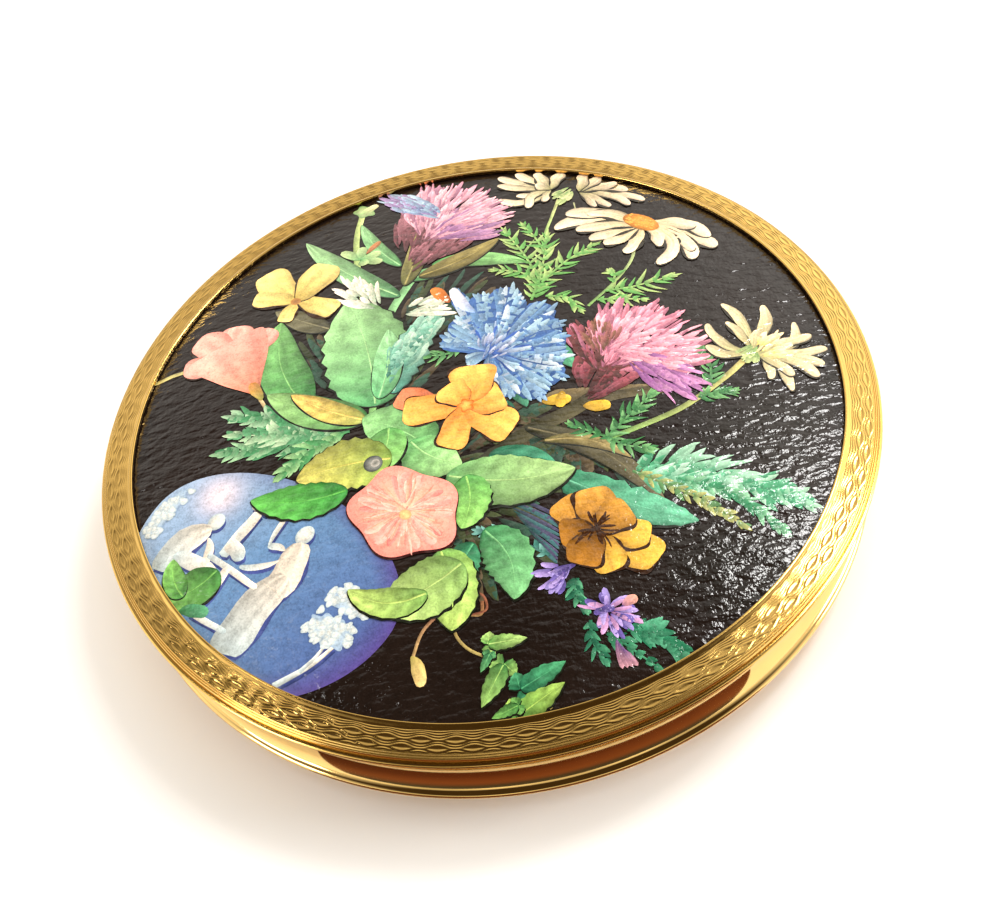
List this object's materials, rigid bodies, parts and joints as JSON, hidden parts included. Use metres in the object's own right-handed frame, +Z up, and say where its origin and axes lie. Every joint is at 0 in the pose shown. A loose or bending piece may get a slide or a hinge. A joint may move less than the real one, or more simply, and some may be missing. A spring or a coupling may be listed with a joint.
{
  "type": "pill box",
  "caption": "Slim round gilt pill box with a hinged lid that holds a domed flower picture in an engine-turned bezel, over a shallow polished base with a divided tray.",
  "frame": {"origin": "centre of the underside, on the surface that the closed box rests on", "axes": "+Z up through the lid; +Y towards the hinge; the catch is on -Y"},
  "size_m": [0.05, 0.05, 0.0089],
  "materials": {
    "bezel_gilt": "satin, engine turned",
    "band_gilt": "polished",
    "inner_gilt": "brushed satin",
    "hinge_brass": "satin",
    "spring": "spring temper, plain",
    "plate": "tin plate",
    "card": "grey-brown card",
    "print": "colour print on near-black",
    "clear_film": "glossy, linen embossed",
    "tray": "ivory, soft gloss"
  },
  "bodies": {
    "base": {"side_band": "band_gilt", "base_pan": "inner_gilt", "base_hinge_leaf": "hinge_brass", "hinge_pin": "hinge_brass", "spring_catch": "spring", "tray": "tray", "divider": "tray"},
    "lid": {"bezel": "bezel_gilt", "clear_film": "clear_film", "picture_print": "print", "picture_plate": "plate", "packing_card": "card", "lid_pan": "inner_gilt", "lid_skirt": "inner_gilt", "lid_hinge_leaf": "hinge_brass", "keeper": "hinge_brass"}
  },
  "joints": [
    {"name": "lid_hinge", "type": "hinge", "parent": "base", "child": "lid", "pos_m": [0, 0.02355, 0.0055], "axis": [-1, 0, 0], "range_deg": [0, 95]}
  ]
}
